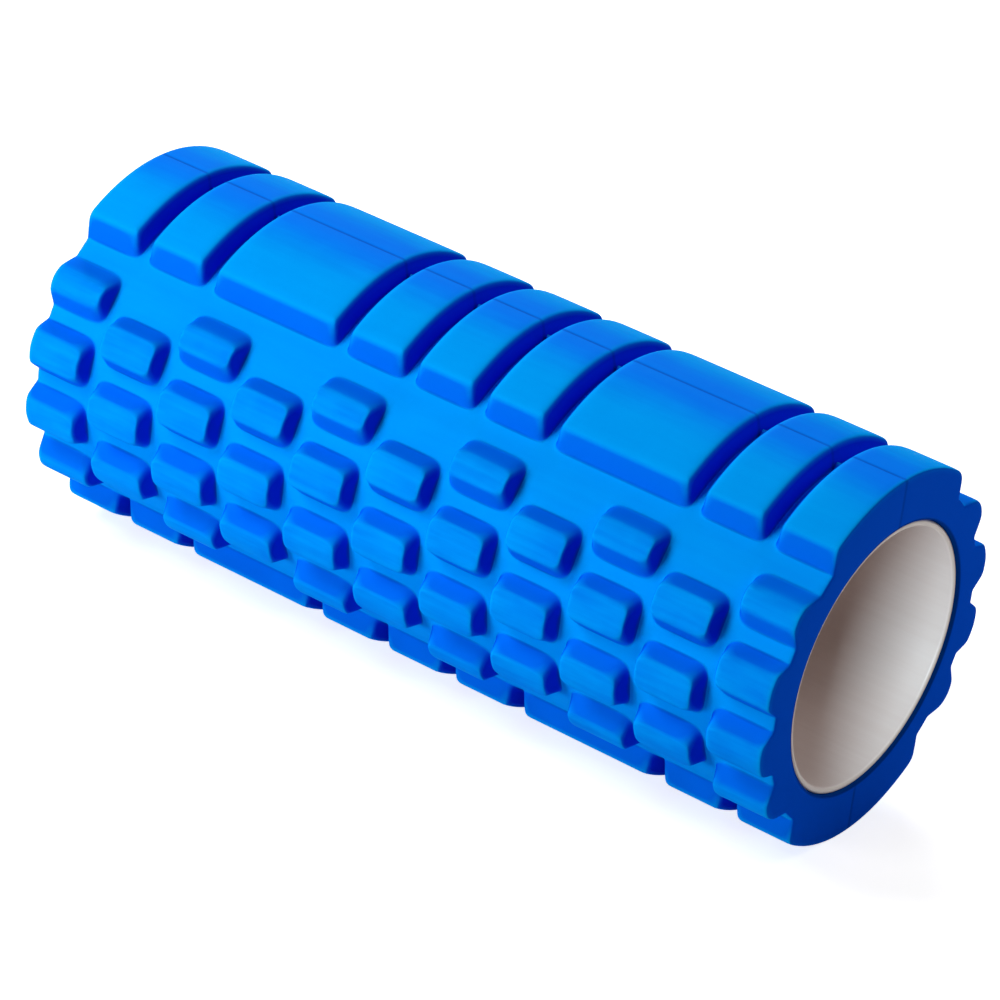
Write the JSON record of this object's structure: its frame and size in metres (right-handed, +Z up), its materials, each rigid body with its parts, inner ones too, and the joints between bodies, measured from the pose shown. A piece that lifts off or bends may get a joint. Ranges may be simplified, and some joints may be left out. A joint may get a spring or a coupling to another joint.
{
  "type": "foam roller",
  "caption": "Massage roller: a foam sleeve moulded with raised blocks and staggered lugs, bonded over a hollow plastic core tube open at both ends.",
  "frame": {"origin": "on the floor under the middle of the roller, which lies on its lower row of blocks", "axes": "+X along the roller's axis, -Y towards the side that faces the viewer, +Z up through the upper parting line"},
  "size_m": [0.33, 0.139, 0.1405],
  "materials": {
    "core_plastic": "satin white moulded plastic",
    "sleeve_foam": "satin blue closed-cell moulded foam"
  },
  "bodies": {
    "root": {"core_tube": "core_plastic", "foam_sleeve": "sleeve_foam"}
  },
  "joints": []
}
